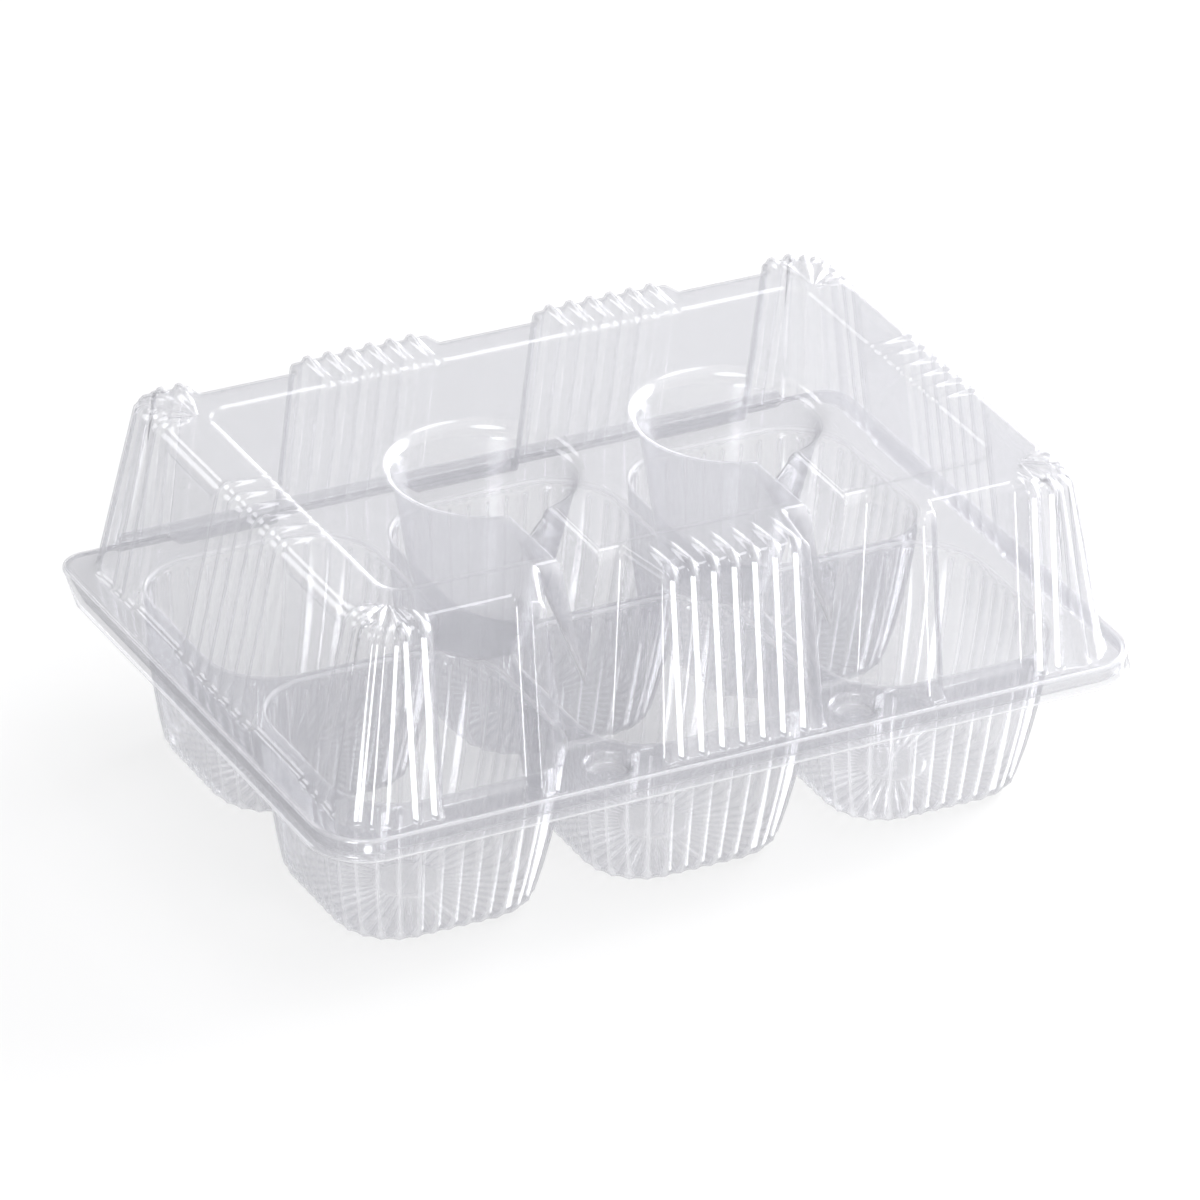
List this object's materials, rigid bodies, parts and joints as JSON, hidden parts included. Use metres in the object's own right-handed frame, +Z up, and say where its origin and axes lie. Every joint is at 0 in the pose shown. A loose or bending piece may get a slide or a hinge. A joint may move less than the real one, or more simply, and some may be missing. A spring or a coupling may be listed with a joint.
{
  "type": "egg carton",
  "caption": "Clear thermoformed egg carton: cupped tray and ribbed domed lid joined by a folding web along the back edge.",
  "frame": {"origin": "in the resting plane under the cups, at the middle of the plan", "axes": "+X right along the long side, +Y towards the hinge, +Z up; the snap studs and front notches are at -Y"},
  "size_m": [0.172, 0.118, 0.0702],
  "materials": {
    "clear_pet": "clear glossy thermoformed PET sheet"
  },
  "bodies": {
    "tray": {"tray": "clear_pet"},
    "hinge_web": {"hinge_web": "clear_pet"},
    "lid": {"lid": "clear_pet"}
  },
  "joints": [
    {"name": "tray_crease", "type": "hinge", "parent": "tray", "child": "hinge_web", "pos_m": [0, 0.05855, 0.0323], "axis": [-1, 0, 0], "range_deg": [0, 90]},
    {"name": "lid_crease", "type": "hinge", "parent": "hinge_web", "child": "lid", "pos_m": [0, 0.05855, 0.03575], "axis": [-1, 0, 0], "range_deg": [0, 90]}
  ],
  "couplings": [
    {"joint": "tray_crease", "follows": "lid_crease", "ratio": 1}
  ]
}
